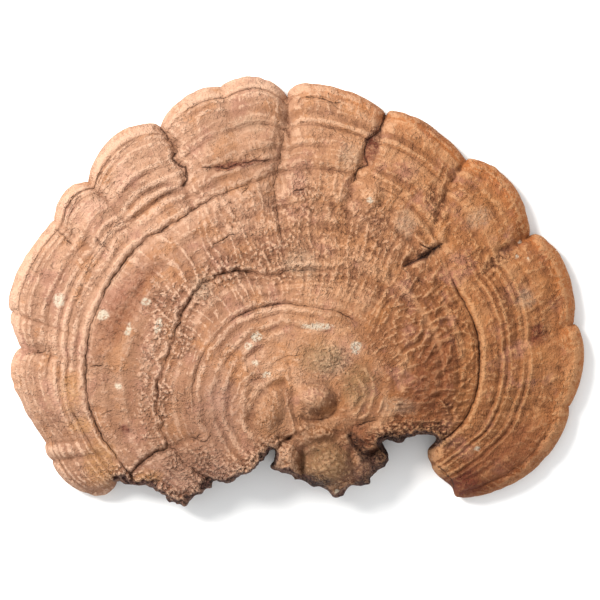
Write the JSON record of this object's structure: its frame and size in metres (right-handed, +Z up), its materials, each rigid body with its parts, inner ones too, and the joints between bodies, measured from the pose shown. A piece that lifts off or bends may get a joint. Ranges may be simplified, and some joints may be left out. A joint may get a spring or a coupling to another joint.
{
  "type": "bracket fungus",
  "caption": "Fan-shaped dried bracket fungus with a lobed margin, ringed growth zones, radial furrows, broken rear edges, knobby attachment, flat pore surface and flat-cut root.",
  "frame": {"origin": "centre of the bounding box's base, on the flat pore surface the conk lies on", "axes": "+Z up from the pore surface through the crust, +Y from the root out to the far margin, +X to the right as seen from above with the root nearest"},
  "size_m": [0.2996, 0.2237, 0.047],
  "materials": {
    "crust": "dry, dusty, matt"
  },
  "bodies": {
    "root": {"conk": "crust"}
  },
  "joints": []
}
